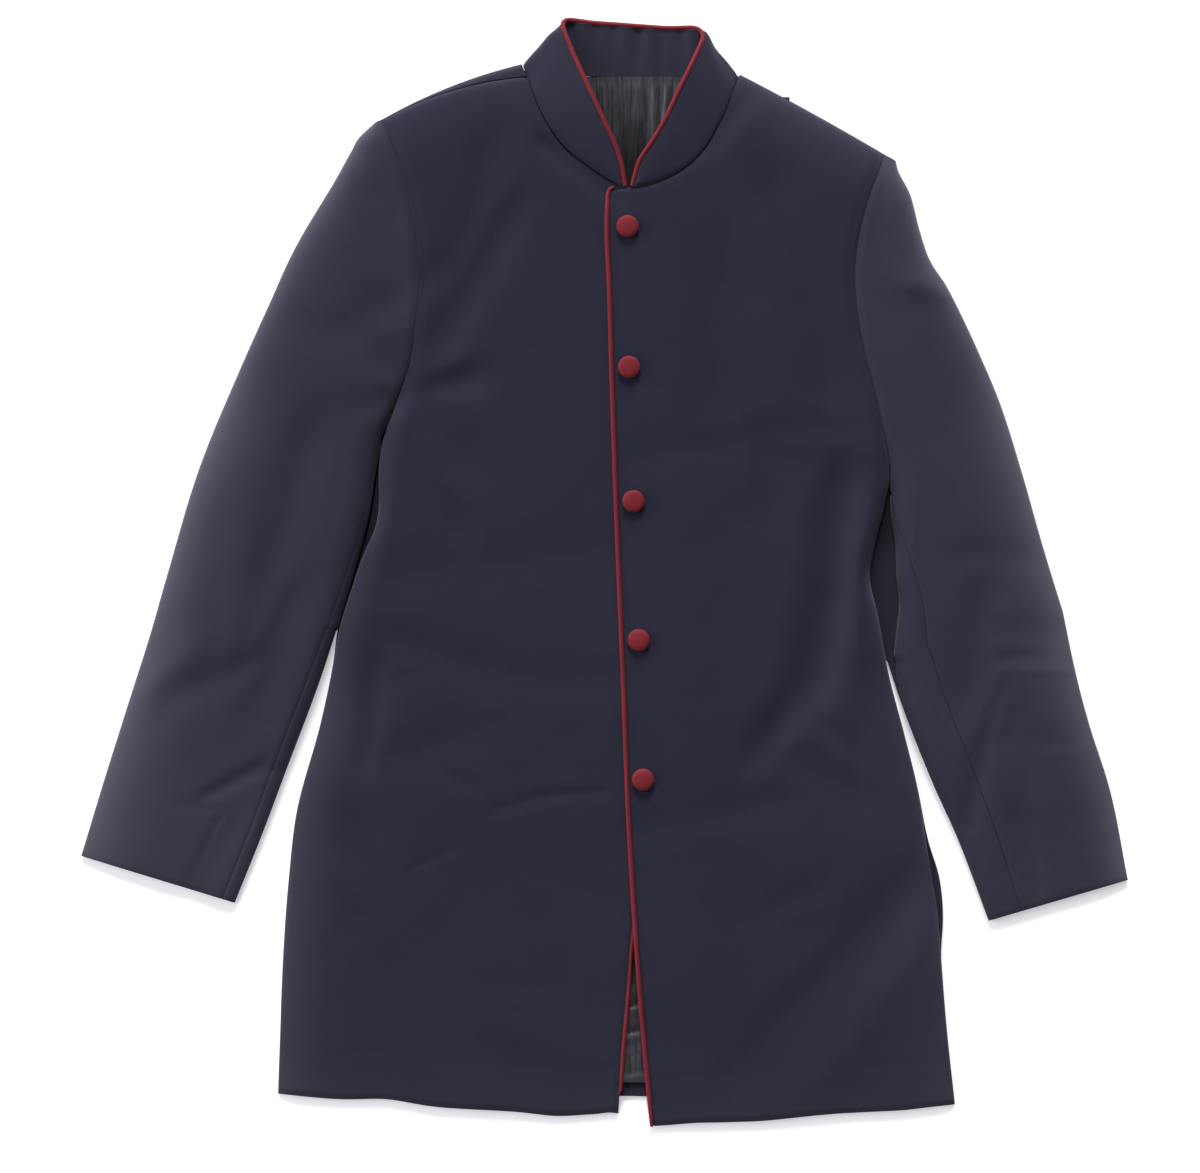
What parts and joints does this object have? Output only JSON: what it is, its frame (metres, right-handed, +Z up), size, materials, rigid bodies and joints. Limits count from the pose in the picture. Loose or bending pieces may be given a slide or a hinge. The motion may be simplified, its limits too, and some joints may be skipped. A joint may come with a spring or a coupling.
{
  "type": "band-collar suit jacket",
  "caption": "Long single-breasted band-collar suit jacket in navy wool with maroon piping and covered buttons, laid flat on its back.",
  "frame": {"origin": "on the surface that the jacket lies on, under the middle of its box", "axes": "+Y from the hem to the collar, +Z up out of the surface, +X to the wearer's left side"},
  "size_m": [0.872, 0.9232, 0.0276],
  "materials": {
    "navy_wool": "fine matt wool weave",
    "charcoal_satin": "satin lining",
    "maroon_satin": "fine covered cord and buttons"
  },
  "bodies": {
    "root": {"front_right": "navy_wool", "front_left": "navy_wool", "back_right": "navy_wool", "back_left": "navy_wool", "sleeve_right_top": "navy_wool", "sleeve_right_under": "navy_wool", "sleeve_left_top": "navy_wool", "sleeve_left_under": "navy_wool", "collar": "navy_wool", "back_lining": "charcoal_satin", "collar_piping": "maroon_satin", "front_left_piping": "maroon_satin", "front_right_piping": "maroon_satin", "button_1": "maroon_satin", "button_2": "maroon_satin", "button_3": "maroon_satin", "button_4": "maroon_satin", "button_5": "maroon_satin"}
  },
  "joints": []
}
